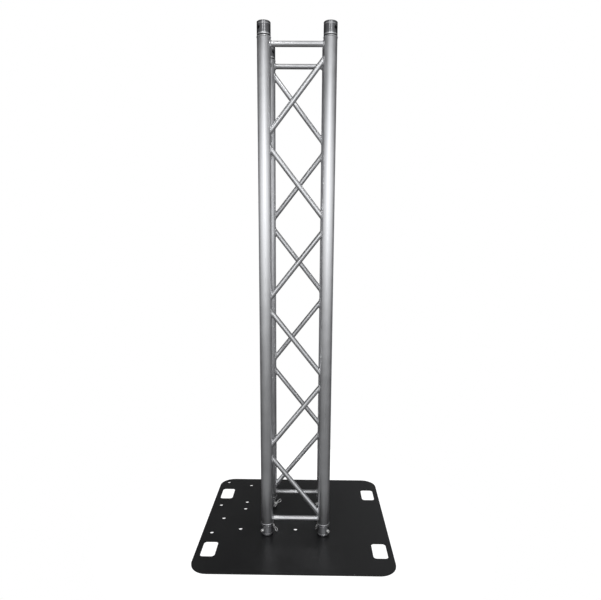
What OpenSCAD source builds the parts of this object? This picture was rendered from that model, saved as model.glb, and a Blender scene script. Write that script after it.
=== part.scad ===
// Square aluminium truss section standing on a flat steel base plate.
// Four chord tubes, welded end receivers, end bars and zig-zag braces make the section.
// It is pinned at its foot to four half conical couplers that are screwed to the plate.
// Millimetres, +Z up, origin at the centre of the plate's underside, front towards -Y.

/* [Truss section] */
// Length of the section, end face to end face
truss_l = 2000; // [2000:50:3000]
// Chord centre to chord centre
chord_pitch = 240; // [220:5:250]
// Chord tube outside diameter
chord_d = 50; // [48:0.5:51]
// Chord tube wall
chord_wall = 2; // [1.6:0.1:3]
// Brace and end bar tube outside diameter
brace_d = 20; // [16:1:20]
// Brace and end bar tube wall
brace_wall = 2; // [1.5:0.1:3]
// End face to the centre of the nearest end bar
bar_offset = 71; // [66:1:80]
// Zig-zag braces in each face
brace_count = 6; // [4:1:6]
// How far the first and last brace nodes lie inside the end bars
node_inset = 8; // [7:1:14]
// How much lower the front face's braces are welded on than those of the other faces
front_drop = 12; // [0:1:12]
// Gap that each weld bridges between a coped tube end and its chord
weld_gap = 0.05; // [0.02:0.01:0.2]

/* [End receivers] */
// Length of a receiver outside its chord tube
receiver_l = 50; // [44:1:54]
// Length of the spigot inside the chord tube
spigot_l = 28; // [20:1:40]
// End face to the centre of the pin hole
pin_offset = 22; // [20:1:24]
// Pin hole diameter through the receiver walls
pin_hole_d = 12.4; // [12.3:0.1:13]
// Conical socket diameter at its mouth
socket_mouth_d = 34.2; // [33:0.1:36]
// Conical socket diameter at its inner end
socket_end_d = 25.2; // [24:0.1:27]

/* [Base plate] */
// Side of the square plate
plate_w = 800; // [800:10:1000]
// Plate thickness
plate_t = 6; // [6:0.5:10]
// Radius of the plate's corners
plate_corner_r = 70; // [30:5:100]
// Hand hole width
hand_w = 60; // [50:1:80]
// Hand hole length
hand_l = 110; // [90:1:130]
// Hand hole corner radius
hand_r = 14; // [8:1:20]
// Hand hole centre from the plate centre, across
hand_x = 348; // [330:1:350]
// Hand hole centre from the plate centre, front to back
hand_y = 240; // [220:1:280]
// Fixing hole diameter at the plate's top face
fix_hole_d = 15; // [15:0.5:16]
// Countersink diameter at the plate's underside
fix_sink_d = 25; // [24:0.5:25]
// Gap between the plate and the end of the truss
seat_gap = 2; // [1:0.5:4]

/* [Couplers, pins and clips] */
// Clearance between a coupler's cone and its socket
cone_gap = 0.1; // [0.05:0.05:0.3]
// Tapered pin diameter at its big end
pin_big_d = 12.2; // [12:0.05:12.2]
// Tapered pin diameter at its small end
pin_small_d = 11.2; // [10.8:0.05:11.4]
// Length of the pin outside the receiver at its big end
pin_out_l = 8; // [6:0.5:12]
// Chord centre to the clip hole at the pin's small end
clip_x = 32; // [31:0.5:34]
// Clip wire diameter
clip_wire_d = 3; // [2.5:0.1:3]

/* [Hidden] */
$fn = 64;
CORNERS = ["front_left", "front_right", "rear_right", "rear_left"];
FACES = ["front", "right", "rear", "left"];
ENDS = ["bottom", "top"];

chord_r = chord_d / 2;
chord_bore_r = chord_r - chord_wall;
chord_c = chord_pitch / 2;
brace_r = brace_d / 2;
brace_bore_r = brace_r - brace_wall;
truss_z = plate_t + seat_gap;
truss_top = truss_z + truss_l;
pin_z = truss_z + pin_offset;
node_low = truss_z + bar_offset + node_inset;
node_pitch = (truss_l - 2 * (bar_offset + node_inset)) / brace_count;
// Half the distance between two brace axes where they meet on the chord axis
node_half_gap = 2;
through = 1;

// Receiver profile
edge = 1;
rim_groove_z = 8;
rim_groove = 0.5;
weld_groove_z = receiver_l - 5;
weld_groove = 1.2;
spigot_r = chord_bore_r - 0.1;
socket_l = 54;
core_r = socket_end_d / 2 - 0.7;

// Coupler and its screw
coupler_l = 52;
coupler_nose = 2;
cone_slope = (socket_mouth_d - socket_end_d) / 2 / (socket_l - edge);
thread_r = 6;
thread_gap = 0.1;
thread_depth = 18;
screw_l = 20;
screw_sink = 0.5;
screw_head_r = fix_sink_d / 2 - screw_sink;
socket_key_d = 8;
socket_key_depth = 4;
sink_depth = (fix_sink_d - fix_hole_d) / 2;

// Spare fixing holes: they repeat the coupler square one pitch to the left and behind it,
// and add the third corner of each equal-sided triangle that such a pair of holes can carry
tri_h = chord_pitch * sin(60);
SPARE_HOLES = [
    [-3 * chord_c, -chord_c],
    [-3 * chord_c, chord_c],
    [-3 * chord_c, 3 * chord_c],
    [-chord_c, 3 * chord_c],
    [0, chord_c - tri_h],
    [-2 * chord_c, chord_c - tri_h],
    [-2 * chord_c, tri_h - chord_c],
    [-2 * chord_c, 3 * chord_c - tri_h],
    [-2 * chord_c, chord_c + tri_h],
    [-chord_c - tri_h, 0]
];

// Pin axis runs from the outer side of a corner, -X, to its inner side, +X
pin_from = -chord_r - pin_out_l;
pin_to = clip_x + 6;
pin_edge = 1;
clip_hole_d = clip_wire_d + 0.4;
clip_wire_r = clip_wire_d / 2;
// Mean radius of the clip's coil, and from the pin centre along the leg to its coil and its tip
clip_coil_r = 7.5;
clip_coil_x = 23;
clip_tip_x = 14;
// The bent leg: where it leaves the coil, its run to the bend, and the bend itself
clip_coil_end = 150;
clip_neck_l = 3.75;
clip_bend_r = 4;
clip_bend_turn = 70;
clip_bend_full = 0.05;
clip_lap = 0.4;
// How far each clip is turned about its pin, and the side of the leg that its coil is on
CLIP_TURN = [185, 185, 10, 30];
CLIP_SIDE = [1, 1, -1, -1];

// The point at distance r and angle a from point p
function polar(p, r, a) = p + r * [cos(a), sin(a)];

module at_corner(i) {
    rotate([0, 0, 90 * i]) translate([-chord_c, -chord_c, 0]) children();
}

module at_face(i) {
    rotate([0, 0, 90 * i]) translate([0, -chord_c, 0]) children();
}

// A radial hole along a corner's outward diagonal, at pin height above a receiver's end face
module pin_hole() {
    translate([0, 0, pin_offset]) rotate([0, 0, 45]) rotate([0, 90, 0])
        cylinder(d = pin_hole_d, h = chord_d + 2 * through, center = true);
}

module rounded_plate(w, l, r, h) {
    linear_extrude(height = h) union() {
        square([w - 2 * r, l], center = true);
        square([w, l - 2 * r], center = true);
        for (x = [-1, 1]) for (y = [-1, 1])
            translate([x * (w / 2 - r), y * (l / 2 - r)]) circle(r = r);
    }
}

module fixing_hole() {
    translate([0, 0, -through]) cylinder(d = fix_hole_d, h = plate_t + 2 * through);
    translate([0, 0, -through])
        cylinder(r1 = fix_sink_d / 2 + through, r2 = fix_hole_d / 2, h = sink_depth + through);
}

module base_plate() {
    color([0.1, 0.1, 0.11]) difference() {
        rounded_plate(plate_w, plate_w, plate_corner_r, plate_t);
        for (x = [-1, 1]) for (y = [-1, 1])
            translate([x * hand_x, y * hand_y, -through])
                rounded_plate(hand_w, hand_l, hand_r, plate_t + 2 * through);
        for (i = [0:3]) at_corner(i) fixing_hole();
        for (p = SPARE_HOLES) translate([p[0], p[1], 0]) fixing_hole();
    }
}

// Half conical coupler: its cone fills the lower socket of a corner
module coupler(i) {
    base_r = socket_mouth_d / 2 - cone_gap;
    shoulder = seat_gap + edge;
    nose_z = seat_gap + coupler_l - coupler_nose;
    nose_r = base_r - cone_slope * (nose_z - shoulder);
    color([0.75, 0.76, 0.78]) at_corner(i) translate([0, 0, plate_t]) difference() {
        rotate_extrude() polygon([
            [0, 0], [base_r, 0], [base_r, shoulder], [nose_r, nose_z],
            [nose_r - coupler_nose, nose_z + coupler_nose], [0, nose_z + coupler_nose]
        ]);
        translate([0, 0, -through]) cylinder(r = thread_r + thread_gap, h = thread_depth + through);
        translate([0, 0, -through])
            cylinder(r1 = thread_r + thread_gap + 2 * through, r2 = thread_r + thread_gap, h = 2 * through);
        translate([0, 0, pin_z - plate_t]) rotate([0, 0, 45]) rotate([0, 90, 0])
            cylinder(d1 = pin_taper(-chord_r) + 2 * cone_gap, d2 = pin_taper(chord_r) + 2 * cone_gap,
                h = chord_d, center = true);
    }
}

// Countersunk socket screws that hold the couplers from under the plate
module coupler_screws() {
    shank_top = screw_sink + screw_l;
    head_r = screw_head_r - thread_gap;
    color([0.3, 0.3, 0.32]) for (i = [0:3]) at_corner(i) difference() {
        rotate_extrude() polygon([
            [0, screw_sink], [head_r, screw_sink], [thread_r, screw_sink + head_r - thread_r],
            [thread_r, shank_top - edge], [thread_r - edge, shank_top], [0, shank_top]
        ]);
        translate([0, 0, screw_sink - through])
            cylinder(d = socket_key_d / cos(30), h = socket_key_depth + through, $fn = 6);
    }
}

module chord(i) {
    l = truss_l - 2 * receiver_l;
    color([0.78, 0.79, 0.8]) at_corner(i) translate([0, 0, truss_z + receiver_l]) difference() {
        cylinder(r = chord_r, h = l);
        translate([0, 0, -through]) cylinder(r = chord_bore_r, h = l + 2 * through);
    }
}

// Machined receiver with its end face at z = 0 and its spigot upwards
module receiver_body() {
    spigot_z = receiver_l + spigot_l;
    difference() {
        rotate_extrude() polygon([
            [core_r, spigot_z], [core_r, socket_l], [socket_end_d / 2, socket_l],
            [socket_mouth_d / 2, edge], [socket_mouth_d / 2 + edge, 0], [chord_r - edge, 0], [chord_r, edge],
            [chord_r, rim_groove_z - rim_groove], [chord_r - rim_groove, rim_groove_z],
            [chord_r, rim_groove_z + rim_groove],
            [chord_r, weld_groove_z - weld_groove], [chord_r - weld_groove, weld_groove_z],
            [chord_r - weld_groove, weld_groove_z + weld_groove], [chord_r, weld_groove_z + 2 * weld_groove],
            [chord_r, receiver_l], [spigot_r, receiver_l],
            [spigot_r, spigot_z - edge], [spigot_r - edge, spigot_z]
        ]);
        pin_hole();
    }
}

module receiver(end, i) {
    color([0.66, 0.67, 0.69]) at_corner(i)
        if (end == "bottom") translate([0, 0, truss_z]) receiver_body();
        else translate([0, 0, truss_top]) mirror([0, 0, 1]) receiver_body();
}

// A tube from point a to point b in a face's own XZ plane, coped round both chords
module coped_tube(a, b) {
    d = b - a;
    l = norm(d);
    difference() {
        translate([a[0], 0, a[1]]) rotate([0, atan2(d[0], d[1]), 0]) difference() {
            cylinder(r = brace_r, h = l);
            translate([0, 0, -through]) cylinder(r = brace_bore_r, h = l + 2 * through);
        }
        for (x = [-1, 1]) translate([x * chord_c, 0, min(a[1], b[1]) - chord_d])
            cylinder(r = chord_r + weld_gap, h = abs(d[1]) + 2 * chord_d);
    }
}

module bar(end, i) {
    z = end == "bottom" ? truss_z + bar_offset : truss_top - bar_offset;
    color([0.8, 0.81, 0.82]) at_face(i) coped_tube([-chord_c, z], [chord_c, z]);
}

// Brace k of a face climbs from node k - 1 to node k, and even nodes are on the face's right
module brace(i, k) {
    side = k % 2 == 1 ? 1 : -1;
    z = node_low + (k - 1) * node_pitch - (FACES[i] == "front" ? front_drop : 0);
    color([0.8, 0.81, 0.82]) at_face(i) coped_tube(
        [side * chord_c, z + node_half_gap],
        [-side * chord_c, z + node_pitch - node_half_gap]
    );
}

// Diameter of the tapered pin at distance x from the chord axis
function pin_taper(x) = pin_big_d + (pin_small_d - pin_big_d) * (x - pin_from) / (pin_to - pin_from);

module at_pin(i) {
    at_corner(i) translate([0, 0, pin_z]) rotate([0, 0, 45]) children();
}

module pin(i) {
    l = pin_to - pin_from;
    big_r = pin_big_d / 2;
    small_r = pin_small_d / 2;
    color([0.8, 0.8, 0.78]) at_pin(i) difference() {
        translate([pin_from, 0, 0]) rotate([0, 90, 0]) rotate_extrude() polygon([
            [0, 0], [big_r - pin_edge, 0], [big_r, pin_edge],
            [small_r, l - pin_edge], [small_r - pin_edge, l], [0, l]
        ]);
        translate([clip_x, 0, 0]) rotate([CLIP_TURN[i], 0, 0]) rotate([90, 0, 0])
            cylinder(d = clip_hole_d, h = 2 * pin_big_d, center = true);
    }
}

// A straight stretch of clip wire in the XY plane, from point p along a heading
module wire_run(p, heading, l) {
    translate([p[0], p[1], 0]) rotate([0, 0, heading]) rotate([0, 90, 0]) cylinder(r = clip_wire_r, h = l);
}

// An arc of clip wire in the XY plane about point c, a hair fuller than the runs that end inside it
module wire_arc(c, r, from, turn) {
    translate([c[0], c[1], 0]) rotate([0, 0, from]) rotate_extrude(angle = turn)
        translate([r, 0]) circle(r = clip_wire_r + clip_bend_full);
}

// Spring clip in the XY plane: its straight leg lies along X through the pin at the origin,
// and its bent leg leaves the coil, dips towards the straight leg and passes outside the pin
module clip_body() {
    coil = [clip_coil_x, clip_coil_r];
    neck = polar(coil, clip_coil_r, clip_coil_end);
    neck_heading = clip_coil_end + 90;
    neck_end = polar(neck, clip_neck_l, neck_heading);
    bend = polar(neck_end, clip_bend_r, clip_coil_end);
    leg = polar(bend, clip_bend_r, clip_coil_end + 180 - clip_bend_turn);
    leg_heading = neck_heading - clip_bend_turn;
    leg_l = (leg[0] + clip_tip_x) / -cos(leg_heading);
    union() {
        wire_run([-clip_tip_x, 0], 0, clip_coil_x + clip_tip_x + clip_lap);
        wire_arc(coil, clip_coil_r, -90, clip_coil_end + 90);
        wire_run(polar(neck, -clip_lap, neck_heading), neck_heading, clip_neck_l + 2 * clip_lap);
        wire_arc(bend, clip_bend_r, clip_coil_end + 180, -clip_bend_turn);
        wire_run(polar(leg, -clip_lap, leg_heading), leg_heading, leg_l + clip_lap);
    }
}

module clip(i) {
    color([0.85, 0.85, 0.84]) at_pin(i) translate([clip_x, 0, 0]) rotate([CLIP_TURN[i], 0, 0])
        rotate([90, 0, 90]) mirror([0, CLIP_SIDE[i] < 0 ? 1 : 0, 0]) clip_body();
}

base_plate();
coupler_screws();
for (i = [0:3]) {
    coupler(i);
    chord(i);
    pin(i);
    clip(i);
    for (e = ENDS) {
        receiver(e, i);
        bar(e, i);
    }
    for (k = [1:brace_count])
        brace(i, k);
}
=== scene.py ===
"""Looks for an aluminium truss section that stands on a black steel base plate."""

import math
import random

import bmesh
import bpy
from mathutils import Matrix, Vector

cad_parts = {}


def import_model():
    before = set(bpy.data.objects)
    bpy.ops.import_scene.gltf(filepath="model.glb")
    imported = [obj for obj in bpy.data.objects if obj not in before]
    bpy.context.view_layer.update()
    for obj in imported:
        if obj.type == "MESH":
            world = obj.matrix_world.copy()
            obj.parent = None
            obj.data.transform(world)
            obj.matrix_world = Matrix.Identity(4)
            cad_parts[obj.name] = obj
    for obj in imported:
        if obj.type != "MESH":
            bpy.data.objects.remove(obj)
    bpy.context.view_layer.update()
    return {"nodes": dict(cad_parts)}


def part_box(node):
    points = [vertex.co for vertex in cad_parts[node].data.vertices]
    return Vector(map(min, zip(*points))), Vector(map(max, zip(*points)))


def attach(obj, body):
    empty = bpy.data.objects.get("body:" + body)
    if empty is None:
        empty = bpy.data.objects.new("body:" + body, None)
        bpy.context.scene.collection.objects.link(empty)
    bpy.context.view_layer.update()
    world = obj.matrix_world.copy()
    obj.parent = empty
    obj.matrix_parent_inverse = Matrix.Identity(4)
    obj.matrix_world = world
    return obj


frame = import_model()
NODES = frame["nodes"]
ROOT = "truss"

CORNERS = ["front_left", "front_right", "rear_right", "rear_left"]
FACES = ["front", "right", "rear", "left"]
ENDS = ["bottom", "top"]
BRACES = 6
BRACE_GAP = 0.004  # between the axes of two braces where they meet a chord


# ---------------------------------------------------------------- sizes, from the CAD nodes

def node_box(name):
    lo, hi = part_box(name)
    return Vector(lo), Vector(hi)


def mid_height(name):
    lo, hi = node_box(name)
    return (lo.z + hi.z) / 2


CHORD_LO, CHORD_HI = node_box("chord_front_left")
CHORD_R = (CHORD_HI.x - CHORD_LO.x) / 2
CHORD_C = -(CHORD_LO.x + CHORD_HI.x) / 2
BAR_LO, BAR_HI = node_box("bar_bottom_front")
BRACE_R = (BAR_HI.z - BAR_LO.z) / 2
BRACE_PITCH = node_box("brace_front_2")[0].z - node_box("brace_front_1")[0].z
BRACE_RISE = BRACE_PITCH - BRACE_GAP
END_TOP = node_box("receiver_top_front_left")[1].z
END_LOW = node_box("receiver_bottom_front_left")[0].z
PLATE_HALF = node_box("base_plate")[1].x


def face_turn(i):
    """From the front face to face i, or from the front left corner to corner i."""
    return Matrix.Rotation(math.radians(90 * i), 3, "Z")


def corner_axis(i):
    return face_turn(i) @ Vector((-CHORD_C, -CHORD_C, 0))


# ---------------------------------------------------------------- material helpers

TUBE_COLOR = (0.80, 0.80, 0.81)
TUBE_EDGE = (0.42, 0.42, 0.44)
TURNED_EDGE = (0.3, 0.3, 0.32)
ZINC_RUB = (0.95, 0.95, 0.95)
ACROSS = 0.25  # of a full turn: from along the tangent to across it


class Nodes:
    """Short calls for building one material's node tree."""

    def __init__(self, name):
        self.mat = bpy.data.materials.new(name)
        self.mat.use_nodes = True
        self.tree = self.mat.node_tree
        self.bsdf = self.tree.nodes["Principled BSDF"]
        self.pos = self.tree.nodes.new("ShaderNodeTexCoord").outputs["Object"]

    def link(self, a, b):
        self.tree.links.new(a, b)

    def feed(self, socket, value):
        if hasattr(value, "links"):
            self.link(value, socket)
        else:
            socket.default_value = value

    def math(self, op, a, b=0.0):
        n = self.tree.nodes.new("ShaderNodeMath")
        n.operation = op
        self.feed(n.inputs[0], a)
        self.feed(n.inputs[1], b)
        return n.outputs[0]

    def vec(self, op, a, b=None, scale=None):
        n = self.tree.nodes.new("ShaderNodeVectorMath")
        n.operation = op
        self.feed(n.inputs[0], a)
        if b is not None:
            self.feed(n.inputs[1], b)
        if scale is not None:
            self.feed(n.inputs["Scale"], scale)
        return n.outputs["Value" if op == "DOT_PRODUCT" else "Vector"]

    def split(self, v):
        n = self.tree.nodes.new("ShaderNodeSeparateXYZ")
        self.link(v, n.inputs[0])
        return n.outputs

    def noise(self, v, scale, detail, rough):
        n = self.tree.nodes.new("ShaderNodeTexNoise")
        self.link(v, n.inputs["Vector"])
        n.inputs["Scale"].default_value = scale
        n.inputs["Detail"].default_value = detail
        n.inputs["Roughness"].default_value = rough
        return n.outputs["Fac"]

    def map(self, v, a, b, c, d):
        """Takes a to c and b to d, and holds those values outside them."""
        n = self.tree.nodes.new("ShaderNodeMapRange")
        self.feed(n.inputs["Value"], v)
        for key, x in (("From Min", a), ("From Max", b), ("To Min", c), ("To Max", d)):
            n.inputs[key].default_value = x
        return n.outputs["Result"]

    def mix(self, fac, a, b):
        n = self.tree.nodes.new("ShaderNodeMix")
        n.data_type = "RGBA"
        self.feed(n.inputs["Factor"], fac)
        for socket, x in ((n.inputs[6], a), (n.inputs[7], b)):
            if isinstance(x, tuple):
                socket.default_value = (*x, 1)
            else:
                self.link(x, socket)
        return n.outputs[2]

    def bump(self, height, distance, strength, under=None):
        n = self.tree.nodes.new("ShaderNodeBump")
        n.inputs["Distance"].default_value = distance
        n.inputs["Strength"].default_value = strength
        self.link(height, n.inputs["Height"])
        if under is not None:
            self.link(under, n.inputs["Normal"])
        return n.outputs["Normal"]

    def combine(self, x, y, z):
        n = self.tree.nodes.new("ShaderNodeCombineXYZ")
        for socket, value in zip(n.inputs, (x, y, z)):
            self.feed(socket, value)
        return n.outputs[0]

    def streak(self, tangent, amount):
        """Draws highlights out across the tool lines, which run along the tangent."""
        self.link(tangent, self.bsdf.inputs["Tangent"])
        self.bsdf.inputs["Anisotropic"].default_value = amount
        self.bsdf.inputs["Anisotropic Rotation"].default_value = ACROSS

    def done(self, color, rough, metallic, normal=None, edge_tint=None):
        b = self.bsdf.inputs
        self.feed(b["Base Color"], color)
        self.feed(b["Roughness"], rough)
        b["Metallic"].default_value = metallic
        if normal is not None:
            self.link(normal, b["Normal"])
        if edge_tint is not None:
            b["Specular Tint"].default_value = (*edge_tint, 1)
        return self.mat


def stretched(n, axis, across, along):
    """Position scaled by along down the axis and by across everywhere else: lines along a tube."""
    axis = tuple(axis)
    down = n.math("MULTIPLY", n.vec("DOT_PRODUCT", n.pos, axis), along - across)
    return n.vec("ADD", n.vec("SCALE", n.pos, scale=across), n.vec("SCALE", axis, scale=down))


def lathe_tangent(n):
    """Direction of the tool marks round the chord axis nearest to the point."""
    x, y, _ = n.split(n.pos)
    off_x, off_y = (
        n.math("SUBTRACT", v, n.math("MULTIPLY", n.math("SIGN", v), CHORD_C)) for v in (x, y)
    )
    return n.combine(n.math("MULTIPLY", off_y, -1.0), off_x, 0.0)


def tube_material(name, axis, base):
    """Mill finish tube: drawn lines, cloudy oxide, faint handling marks, duller patches."""
    n = Nodes(name)
    lines = n.noise(stretched(n, axis, 900, 8), 1.0, 2, 0.5)
    bands = n.noise(stretched(n, axis, 220, 3), 1.0, 2, 0.5)
    cloud = n.noise(n.pos, 14, 4, 0.6)
    marks = n.noise(n.vec("MULTIPLY", n.pos, (90, 90, 420)), 1.0, 5, 0.7)
    scuff = n.map(marks, 0.63, 0.72, 0, 1)
    tone = n.math("ADD", n.math("MULTIPLY", lines, 0.3), n.math("MULTIPLY", cloud, 0.7))
    color = n.mix(n.map(tone, 0.35, 0.65, 0, 1), tuple(0.88 * c for c in base), base)
    color = n.mix(n.math("MULTIPLY", scuff, 0.3), color, (0.55, 0.55, 0.56))
    rough = n.math("ADD", n.map(bands, 0.3, 0.7, 0.27, 0.34), n.math("MULTIPLY", scuff, 0.10))
    rough = n.math("ADD", rough, n.map(cloud, 0.35, 0.7, 0.0, 0.06))
    height = n.math("ADD", lines, n.math("MULTIPLY", cloud, 0.3))
    n.streak(n.combine(*axis), 0.7)
    return n.done(color, rough, 1.0, n.bump(height, 0.000008, 0.5), TUBE_EDGE)


def turned_surface(name, base, rough_lo, rough_hi):
    """Machined all round: its tool rings turn a light into an upright line."""
    n = Nodes(name)
    rings = n.noise(n.vec("MULTIPLY", n.pos, (6, 6, 1800)), 1.0, 2, 0.5)
    broad = n.noise(n.vec("MULTIPLY", n.pos, (4, 4, 200)), 1.0, 3, 0.6)
    smudge = n.noise(n.pos, 60, 3, 0.6)
    color = n.mix(n.map(broad, 0.35, 0.65, 0, 1), tuple(0.85 * c for c in base), base)
    rough = n.map(broad, 0.3, 0.7, rough_lo, rough_hi)
    rough = n.math("ADD", rough, n.map(smudge, 0.5, 0.75, 0, 0.05))
    n.streak(lathe_tangent(n), 1.0)
    return n, color, rough, n.bump(rings, 0.000001, 0.4)


def receiver_material():
    """Polished turning: satin line by the rim, satin land before the weld groove, and painted
    shade in the rim chamfer and the weld groove.
    """
    n, color, rough, normal = turned_surface("turned_receiver", (0.30, 0.30, 0.31), 0.32, 0.36)
    z = n.split(n.pos)["Z"]
    depth = n.math("MINIMUM", n.math("SUBTRACT", END_TOP, z), n.math("SUBTRACT", z, END_LOW))

    def stretch(start, end, soft):
        """1 between two depths from the receiver's end face, 0 elsewhere."""
        begun = n.map(depth, start - soft, start + soft, 0, 1)
        return n.math("MULTIPLY", begun, n.map(depth, end - soft, end + soft, 1, 0))

    rim_line = stretch(0.0072, 0.0096, 0.0004)
    weld_land = stretch(0.0390, 0.0440, 0.0005)
    rim_chamfer = stretch(-0.0010, 0.0016, 0.0003)
    weld_groove = stretch(0.0444, 0.0478, 0.0004)
    satin = n.math("MAXIMUM", rim_line, weld_land)
    # painted shade: the colour of the rim chamfer and the weld groove is darkened to near black,
    # where shade falls
    chamfer_and_groove_shade = n.math("MAXIMUM", rim_chamfer, weld_groove)
    color = n.mix(chamfer_and_groove_shade, color, (0.10, 0.10, 0.10))
    color = n.mix(satin, color, (0.78, 0.78, 0.79))
    n.feed(n.bsdf.inputs["Anisotropic"], n.math("SUBTRACT", 1.0, satin))
    return n.done(color, rough, 1.0, normal, TURNED_EDGE)


def coupler_material():
    n, color, rough, normal = turned_surface("turned_coupler", (0.60, 0.60, 0.61), 0.34, 0.42)
    return n.done(color, rough, 1.0, normal, TURNED_EDGE)


def weld_material():
    """Bead metal with patches of greyer film and a fine grain."""
    n = Nodes("weld_aluminium")
    fine = n.noise(n.pos, 900, 3, 0.6)
    film = n.noise(n.pos, 130, 3, 0.6)
    color = n.mix(n.map(film, 0.35, 0.7, 0, 1), (0.86, 0.86, 0.87), (0.58, 0.58, 0.59))
    rough = n.map(film, 0.3, 0.7, 0.24, 0.42)
    return n.done(color, rough, 1.0, n.bump(fine, 0.00006, 0.5))


def plate_material():
    """Black satin powder coat: orange peel, faint scuffs, dust, bare nicks on the edges."""
    n = Nodes("powder_coat_black")
    x, y, _ = n.split(n.pos)
    peel = n.noise(n.pos, 700, 2, 0.5)
    grain = n.noise(n.pos, 2600, 2, 0.6)
    patch = n.noise(n.pos, 7, 4, 0.6)
    scratch = n.noise(n.vec("MULTIPLY", n.pos, (28, 900, 60)), 1.0, 4, 0.65)
    cross = n.noise(n.vec("MULTIPLY", n.pos, (800, 34, 60)), 1.0, 4, 0.65)
    marks = n.math("MAXIMUM", n.map(scratch, 0.71, 0.76, 0, 1), n.map(cross, 0.72, 0.77, 0, 1))
    far = n.math("MAXIMUM", n.math("ABSOLUTE", x), n.math("ABSOLUTE", y))
    edge = n.map(far, PLATE_HALF - 0.0012, PLATE_HALF - 0.0004, 0, 1)
    nick = n.math("MULTIPLY", edge, n.map(n.noise(n.pos, 85, 3, 0.6), 0.66, 0.69, 0, 1))
    dust = n.map(n.noise(n.pos, 1500, 2, 0.5), 0.70, 0.74, 0, 0.5)
    worn = n.map(patch, 0.35, 0.7, 0, 1)
    color = n.mix(worn, (0.0050, 0.0050, 0.0055), (0.0075, 0.0075, 0.0080))
    color = n.mix(n.math("MULTIPLY", marks, 0.25), color, (0.06, 0.06, 0.06))
    color = n.mix(n.math("MULTIPLY", dust, 0.12), color, (0.25, 0.25, 0.24))
    color = n.mix(nick, color, (0.5, 0.5, 0.49))
    rough = n.math("ADD", n.map(patch, 0.35, 0.7, 0.30, 0.37), n.math("MULTIPLY", marks, 0.10))
    rough = n.math("ADD", rough, n.map(grain, 0.3, 0.7, -0.02, 0.02))
    n.bsdf.inputs["Specular IOR Level"].default_value = 0.75
    normal = n.bump(peel, 0.00006, 0.5)
    return n.done(color, rough, 0.0, n.bump(grain, 0.00002, 0.3, normal))


def steel_material(name, base, rough_lo, rough_hi, rubbed, metallic=1.0):
    """Small plated or blackened steel parts: spangle and rubbed spots."""
    n = Nodes(name)
    spangle = n.noise(n.pos, 700, 3, 0.6)
    rub = n.noise(n.pos, 160, 3, 0.6)
    color = n.mix(n.map(spangle, 0.35, 0.65, 0, 1), tuple(0.8 * c for c in base), base)
    color = n.mix(n.map(rub, 0.62, 0.72, 0, 0.4), color, rubbed)
    rough = n.map(rub, 0.3, 0.7, rough_lo, rough_hi)
    return n.done(color, rough, metallic, n.bump(spangle, 0.00003, 0.4))


# ---------------------------------------------------------------- CAD nodes: better materials

def paint(name, mat):
    """Puts one material in every slot of a CAD node."""
    mesh = NODES[name].data
    if not mesh.materials:
        mesh.materials.append(mat)
    for k in range(len(mesh.materials)):
        mesh.materials[k] = mat


chord_mat = tube_material("mill_chord", (0, 0, 1), TUBE_COLOR)
receiver_mat = receiver_material()
coupler_mat = coupler_material()
for c in CORNERS:
    paint("chord_" + c, chord_mat)
    paint("coupler_" + c, coupler_mat)
    for e in ENDS:
        paint(f"receiver_{e}_{c}", receiver_mat)

for i, f in enumerate(FACES):
    level = face_turn(i) @ Vector((1, 0, 0))
    bar_mat = tube_material(f"mill_bar_{f}", level, TUBE_COLOR)
    for e in ENDS:
        paint(f"bar_{e}_{f}", bar_mat)
    for way, first in ((-1, 1), (1, 2)):
        slope = face_turn(i) @ Vector((way * 2 * CHORD_C, 0, BRACE_RISE)).normalized()
        brace_mat = tube_material(f"mill_brace_{f}_{first}", slope, TUBE_COLOR)
        for k in range(first, BRACES + 1, 2):
            paint(f"brace_{f}_{k}", brace_mat)

paint("base_plate", plate_material())
black_oxide = steel_material("black_oxide", (0.09, 0.09, 0.095), 0.32, 0.5, (0.3, 0.3, 0.3))
paint("coupler_screws", black_oxide)
zinc_pin = steel_material("zinc_pin", (0.92, 0.92, 0.90), 0.30, 0.44, ZINC_RUB, 0.5)
zinc_clip = steel_material("zinc_clip", (0.93, 0.93, 0.92), 0.26, 0.38, ZINC_RUB, 0.5)
for c in CORNERS:
    paint("pin_" + c, zinc_pin)
    paint("clip_" + c, zinc_clip)


# ---------------------------------------------------------------- weld beads

WELD = weld_material()
RIPPLE = 0.0025  # from one ripple to the next
STEPS_PER_RIPPLE = 5
PROFILE = 6  # faces across a bead
PROBES = 90  # points that measure a bead's length
SUNK = 0.0003  # into the tubes, so that no gap shows
TANGENT_STEP = 0.01  # radians ahead, for a bead's direction
FILLET_SIZES = (0.0034, 0.0041)  # least and most
FILLET_SAG = 0.16  # of its size: how far a fillet's middle falls short of a round one
RING_WIDTH, RING_PROUD = 0.0044, 0.0015
RING_SWAY = 0.0002  # up and down, round the chord
WIDTH_WANDER, HEIGHT_WANDER = 0.10, 0.05  # parts of a bead's width and height
BOW = 0.35  # of a ripple: how far its edges are from in line with its middle


def ripple(s, jitter):
    """Height of the overlapping ripples at distance s along a bead, near 1."""
    return 0.82 + 0.22 * abs(math.sin(math.pi * (s / RIPPLE + jitter)))


def closed_strip(bm, loops):
    """Joins cross-section loops into a closed ring."""
    rings = [[bm.verts.new(p) for p in loop] for loop in loops]
    n = len(rings[0])
    for a, b in zip(rings, rings[1:] + rings[:1]):
        for k in range(n):
            bm.faces.new((a[k], a[(k + 1) % n], b[(k + 1) % n], b[k]))


def smooth_wave(rng, waves=4):
    """A gentle closed wave with mean 0 and size about 1."""
    parts = [
        (k + 1, rng.uniform(0.3, 1) / (k + 1), rng.uniform(0, 2 * math.pi)) for k in range(waves)
    ]
    return lambda u: sum(a * math.sin(2 * math.pi * k * u + p) for k, a, p in parts)


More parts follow.
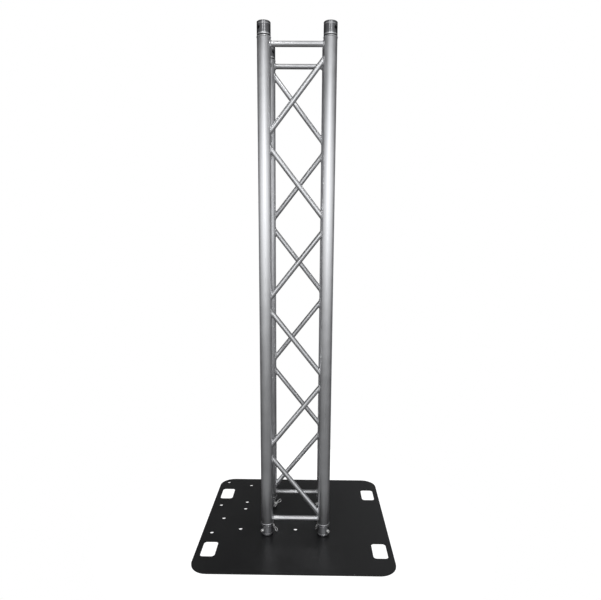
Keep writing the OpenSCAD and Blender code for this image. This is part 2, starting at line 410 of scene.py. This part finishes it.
def fillet_bead(bm, rng, start, d, side):
    """Bead round a coped tube end, in a face's own frame.

    The tube's axis leaves the chord's axis at start in direction d, towards side in x.
    """
    n1 = Vector((d.z, 0, -d.x))
    n2 = Vector((0, 1, 0))

    def saddle(phi):
        y = BRACE_R * math.sin(phi)
        reach = math.sqrt(CHORD_R ** 2 - y ** 2)
        t = (side * reach - BRACE_R * math.cos(phi) * n1.x) / d.x
        return start + d * t + BRACE_R * (math.cos(phi) * n1 + math.sin(phi) * n2)

    probe = [saddle(2 * math.pi * k / PROBES) for k in range(PROBES)]
    length = sum((b - a).length for a, b in zip(probe, probe[1:] + probe[:1]))
    count = round(length / RIPPLE) * STEPS_PER_RIPPLE
    wave, crown = smooth_wave(rng), smooth_wave(rng)
    size = rng.uniform(*FILLET_SIZES)
    turn = rng.random()
    loops = []
    travelled = 0.0
    for k in range(count):
        phi = 2 * math.pi * k / count
        p, after = saddle(phi), saddle(phi + TANGENT_STEP)
        along = (after - p).normalized()
        chord_n = Vector((p.x - start.x, p.y, 0)).normalized()
        tube_n = math.cos(phi) * n1 + math.sin(phi) * n2
        on_tube = along.cross(tube_n)
        on_tube *= 1 if on_tube.dot(d) > 0 else -1
        on_chord = along.cross(chord_n)
        on_chord *= 1 if on_chord.dot(tube_n) > 0 else -1
        w = size * (1 + WIDTH_WANDER * wave(k / count))
        height = 1 + HEIGHT_WANDER * crown(k / count)
        loop = [p - (chord_n + tube_n).normalized() * SUNK * 3]
        for j in range(PROFILE + 1):
            u = j / PROFILE
            a = u * math.pi / 2
            bulge = ripple(travelled, turn + BOW * (u - 0.5) ** 2) * height
            bulge = 1 + (bulge - 1) * math.sin(math.pi * u) ** 0.5
            sag = 1 - FILLET_SAG * math.sin(math.pi * u)
            q = p + w * bulge * (math.cos(a) * on_chord + math.sin(a) * on_tube) * sag
            if j == 0:
                flat = Vector((q.x - start.x, q.y, 0))
                q -= flat.normalized() * (flat.length - CHORD_R + SUNK)
            if j == PROFILE:
                rel = q - start
                off = rel - d * rel.dot(d)
                q -= off.normalized() * (off.length - BRACE_R + SUNK)
            loop.append(q)
        travelled += length / count
        loops.append(loop)
    closed_strip(bm, loops)


def ring_bead(bm, rng, centre):
    """Bead round a chord where its receiver is welded on."""
    length = 2 * math.pi * CHORD_R
    count = round(length / RIPPLE) * STEPS_PER_RIPPLE
    wave, sway = smooth_wave(rng), smooth_wave(rng)
    turn = rng.random()
    loops = []
    for k in range(count):
        a = 2 * math.pi * k / count
        out = Vector((math.cos(a), math.sin(a), 0))
        s = k * length / count
        w = RING_WIDTH * (1 + WIDTH_WANDER * wave(k / count)) / 2
        z = RING_SWAY * sway(k / count)
        loop = [centre + out * (CHORD_R - 3 * SUNK) + Vector((0, 0, z))]
        for j in range(PROFILE + 1):
            u = j / PROFILE
            lift = math.sin(math.pi * u) * ripple(s, turn + BOW * (u - 0.5) ** 2)
            r = CHORD_R - SUNK + (RING_PROUD + SUNK) * lift
            loop.append(centre + out * r + Vector((0, 0, z - w * math.cos(math.pi * u))))
        loops.append(loop)
    closed_strip(bm, loops)


def make_piece(name, bm, mat, body):
    """Smooth visible piece that rides on a body."""
    bmesh.ops.recalc_face_normals(bm, faces=bm.faces)
    mesh = bpy.data.meshes.new(name)
    bm.to_mesh(mesh)
    bm.free()
    mesh.polygons.foreach_set("use_smooth", [True] * len(mesh.polygons))
    mesh.materials.append(mat)
    obj = bpy.data.objects.new(name, mesh)
    bpy.context.scene.collection.objects.link(obj)
    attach(obj, body)


for i, f in enumerate(FACES):
    rng = random.Random(100 + i)
    bm = bmesh.new()
    for z in (mid_height(f"bar_{e}_front") for e in ENDS):
        for side in (-1, 1):
            fillet_bead(bm, rng, Vector((side * CHORD_C, 0, z)), Vector((-side, 0, 0)), -side)
    for k in range(1, BRACES + 1):
        mid = mid_height(f"brace_{f}_{k}")
        low_side = 1 if k % 2 else -1
        low = Vector((low_side * CHORD_C, 0, mid - BRACE_RISE / 2))
        high = Vector((-low_side * CHORD_C, 0, mid + BRACE_RISE / 2))
        d = (high - low).normalized()
        fillet_bead(bm, rng, low, d, -low_side)
        fillet_bead(bm, rng, high, -d, low_side)
    to_face = face_turn(i).to_4x4() @ Matrix.Translation((0, -CHORD_C, 0))
    bmesh.ops.transform(bm, matrix=to_face, verts=bm.verts)
    make_piece("welds_" + f, bm, WELD, ROOT)

for e, z, seed in (("bottom", CHORD_LO.z, 300), ("top", CHORD_HI.z, 310)):
    for i, c in enumerate(CORNERS):
        bm = bmesh.new()
        ring_bead(bm, random.Random(seed + i), corner_axis(i) + Vector((0, 0, z)))
        make_piece(f"weld_ring_{e}_{c}", bm, WELD, ROOT)


# ---------------------------------------------------------------- floor, light and camera

FLOOR_R = 0.85
FLOOR_DROP = 0.0003  # below the plate's underside


def floor():
    """Pale disc that glows a little, so that it meets the backdrop without a line."""
    n = Nodes("pale_floor")
    mat = n.done((0.3, 0.3, 0.3, 1), 0.85, 0.0)
    n.bsdf.inputs["Specular IOR Level"].default_value = 0.1
    n.bsdf.inputs["Emission Color"].default_value = (1, 1, 1, 1)
    n.bsdf.inputs["Emission Strength"].default_value = 0.92
    bm = bmesh.new()
    bmesh.ops.create_circle(bm, cap_ends=True, segments=128, radius=FLOOR_R)
    mesh = bpy.data.meshes.new("floor")
    bm.to_mesh(mesh)
    bm.free()
    mesh.materials.append(mat)
    obj = bpy.data.objects.new("floor", mesh)
    obj.location = (0, 0, -FLOOR_DROP)
    obj.visible_glossy = False
    bpy.context.scene.collection.objects.link(obj)


def area(name, at, target, size, power, in_gloss=True):
    """Rectangular light at a place, aimed at a target. The camera doesn't see it."""
    light = bpy.data.lights.new(name, "AREA")
    light.shape = "RECTANGLE"
    light.size, light.size_y = size
    light.energy = power
    obj = bpy.data.objects.new(name, light)
    obj.location = at
    obj.rotation_euler = (Vector(target) - Vector(at)).to_track_quat("-Z", "Y").to_euler()
    obj.visible_glossy = in_gloss
    obj.visible_camera = False
    bpy.context.scene.collection.objects.link(obj)


def world():
    """White backdrop for the camera, and a studio round the object that only its surfaces see.

    x, y and z are the parts of a direction from the object: y is -1 towards the front, and z is 1
    straight up. A level is how bright the studio is in that direction.
    """
    w = bpy.data.worlds.new("studio")
    w.use_nodes = True
    bpy.context.scene.world = w
    t = w.node_tree
    shell = t.nodes["Background"]

    def add(kind, **props):
        n = t.nodes.new(kind)
        for k, v in props.items():
            setattr(n, k, v)
        return n

    def calc(op, a, b):
        n = add("ShaderNodeMath", operation=op)
        for socket, v in zip(n.inputs, (a, b)):
            if hasattr(v, "links"):
                t.links.new(v, socket)
            else:
                socket.default_value = v
        return n.outputs[0]

    def ease(v, a, b, c=0.0, d=1.0):
        n = add("ShaderNodeMapRange", interpolation_type="SMOOTHSTEP")
        t.links.new(v, n.inputs["Value"])
        for key, x in (("From Min", a), ("From Max", b), ("To Min", c), ("To Max", d)):
            n.inputs[key].default_value = x
        return n.outputs["Result"]

    split = add("ShaderNodeSeparateXYZ")
    t.links.new(add("ShaderNodeTexCoord").outputs["Generated"], split.inputs[0])
    x, y, z = split.outputs
    beside = calc("ABSOLUTE", x, 0.0)

    # a low screen in front, brightest in its middle
    ahead = ease(calc("MULTIPLY", y, -1), -0.60, 0.75)
    band = calc("MULTIPLY", ease(z, -0.24, 0.15), ease(z, 0.20, 0.35, 1.0, 0.0))
    centre = ease(beside, 0.15, 0.75, 1.0, 0.0)
    band = calc("MULTIPLY", band, calc("ADD", calc("MULTIPLY", centre, 0.70), 1.15))
    front = calc("MULTIPLY", ahead, calc("ADD", band, 0.16))

    # a ceiling, brighter to the right and dimmer towards the back
    above = ease(z, 0.30, 0.60)
    behind = calc("MULTIPLY", ease(z, 0.60, 0.80, 0.0, 0.75), ease(y, -0.40, -0.05))
    for part in (
        ease(x, -0.5, 0.7, 0.14, 0.46),
        ease(y, -0.2, 0.6, 1.0, 0.28),
        ease(x, -0.01, 0.11, 0.8, 2.5),
        ease(x, -0.20, -0.11, 1.6, 1.0),
        calc("SUBTRACT", 1.0, behind),
        ease(y, 0.40, 0.80, 1.0, 1.15),
        ease(z, 0.46, 0.58, 1.35, 0.9),
    ):
        above = calc("MULTIPLY", above, part)

    # dark wings at both sides, a low screen at the back, and a little light from everywhere
    wing = calc("MULTIPLY", ease(beside, 0.25, 0.75), ease(z, 0.08, 0.30, 0.0, 0.75))
    level = calc("MULTIPLY", calc("ADD", front, above), calc("SUBTRACT", 1.0, wing))
    rear = calc("MULTIPLY", ease(y, 0.50, 0.85, 0.0, 0.55), ease(z, -0.50, -0.10))
    level = calc("ADD", level, calc("MULTIPLY", rear, ease(z, 0.12, 0.30, 1.0, 0.0)))
    level = calc("ADD", level, 0.05)
    t.links.new(level, shell.inputs["Strength"])
    shell.inputs["Color"].default_value = (0.97, 0.985, 1, 1)

    backdrop = add("ShaderNodeBackground")
    backdrop.inputs["Color"].default_value = (1, 1, 1, 1)
    backdrop.inputs["Strength"].default_value = 1.0
    pick = add("ShaderNodeMixShader")
    t.links.new(add("ShaderNodeLightPath").outputs["Is Camera Ray"], pick.inputs[0])
    t.links.new(shell.outputs[0], pick.inputs[1])
    t.links.new(backdrop.outputs[0], pick.inputs[2])
    t.links.new(pick.outputs[0], t.nodes["World Output"].inputs["Surface"])


floor()
world()
area("overhead", (0, -0.3, 3.6), (0, 0, 0), (2.6, 2.6), 62, in_gloss=False)

# high enough to light the turned receivers and to miss the chords' straight sides
STRIP_SIZE, STRIP_WATTS = (0.10, 1.6), 26
area("strip_left", (-0.85, -3.0, 4.9), (-0.1, -0.1, 2.0), STRIP_SIZE, STRIP_WATTS)
area("strip_right", (1.0, -3.0, 4.9), (0.1, -0.1, 2.0), STRIP_SIZE, STRIP_WATTS)

SENSOR_MM, LENS_MM = 36, 30.861
SHIFT_X, SHIFT_Y = -0.00732, 0.07537  # parts of the picture's width
EYE = (0.0589, -2.1467, 1.2247)
YAW, PITCH, ROLL = -0.0113, 0.1912, 0.0072
cam_data = bpy.data.cameras.new("camera")
cam_data.sensor_width = SENSOR_MM
cam_data.lens = LENS_MM
cam_data.shift_x, cam_data.shift_y = SHIFT_X, SHIFT_Y
cam_data.clip_start, cam_data.clip_end = 0.05, 100
cam = bpy.data.objects.new("camera", cam_data)
bpy.context.scene.collection.objects.link(cam)
cam.location = EYE
cam.rotation_mode = "XYZ"
heading = Matrix.Rotation(-YAW, 3, "Z") @ Matrix.Rotation(math.pi / 2 - PITCH, 3, "X")
heading = heading @ Matrix.Rotation(ROLL, 3, "Z")
cam.rotation_euler = heading.to_euler()
bpy.context.scene.camera = cam
bpy.context.scene.view_settings.view_transform = "Standard"
